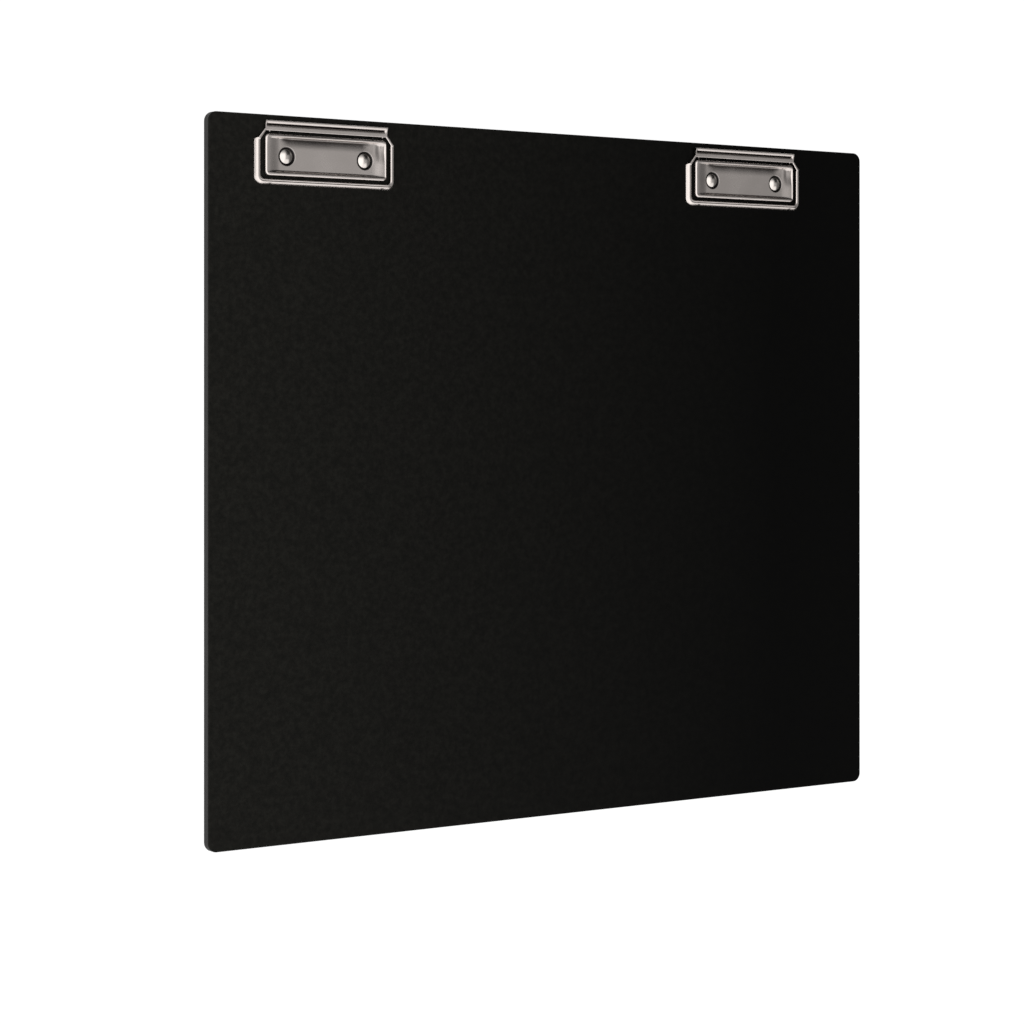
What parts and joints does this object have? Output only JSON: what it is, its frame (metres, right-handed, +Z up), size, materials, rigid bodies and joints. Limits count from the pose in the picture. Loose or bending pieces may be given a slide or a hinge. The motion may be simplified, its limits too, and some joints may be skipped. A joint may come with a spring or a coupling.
{
  "type": "clipboard",
  "caption": "Large landscape clipboard: flat laminated board with rounded corners and low-profile sprung steel clips along its upper edge, each lever pivoting on a pin.",
  "frame": {"origin": "centre of the board's back face, on which it lies", "axes": "+X to the right along the board's width, +Y across the face towards the clips' edge, +Z up out of the clips' side"},
  "size_m": [0.5334, 0.4572, 0.0099],
  "materials": {
    "board_face": "matt black laminate with a fine mottled grain",
    "board_core": "black-dyed dense fibreboard, sealed edge",
    "nickel_steel": "satin nickel plate on pressed steel",
    "rivet_steel": "bright nickel plate",
    "bright_steel": "zinc-plated steel",
    "spring_wire": "drawn spring wire"
  },
  "bodies": {
    "board": {"front_sheet": "board_face", "board_core": "board_core", "back_sheet": "board_face", "left_clip_base_plate": "nickel_steel", "left_clip_hinge_pin": "bright_steel", "left_clip_spring_outer": "spring_wire", "left_clip_spring_inner": "spring_wire", "left_clip_rivet_outer": "rivet_steel", "left_clip_rivet_inner": "rivet_steel", "left_clip_washer_outer": "bright_steel", "left_clip_washer_inner": "bright_steel", "right_clip_base_plate": "nickel_steel", "right_clip_hinge_pin": "bright_steel", "right_clip_spring_outer": "spring_wire", "right_clip_spring_inner": "spring_wire", "right_clip_rivet_outer": "rivet_steel", "right_clip_rivet_inner": "rivet_steel", "right_clip_washer_outer": "bright_steel", "right_clip_washer_inner": "bright_steel"},
    "left_lever": {"left_clip_lever": "nickel_steel"},
    "right_lever": {"right_clip_lever": "nickel_steel"}
  },
  "joints": [
    {"name": "left_clip_hinge", "type": "hinge", "parent": "board", "child": "left_lever", "pos_m": [-0.18375, 0.21455, 0.0075], "axis": [-1, 0, 0], "range_deg": [0, 12], "stiffness_Nm_per_rad": 0.5, "springref_deg": -34.38, "deforming": ["left_clip_spring_outer", "left_clip_spring_inner"]},
    {"name": "right_clip_hinge", "type": "hinge", "parent": "board", "child": "right_lever", "pos_m": [0.1566, 0.21455, 0.0075], "axis": [-1, 0, 0], "range_deg": [0, 12], "stiffness_Nm_per_rad": 0.5, "springref_deg": -34.38, "deforming": ["right_clip_spring_outer", "right_clip_spring_inner"]}
  ]
}
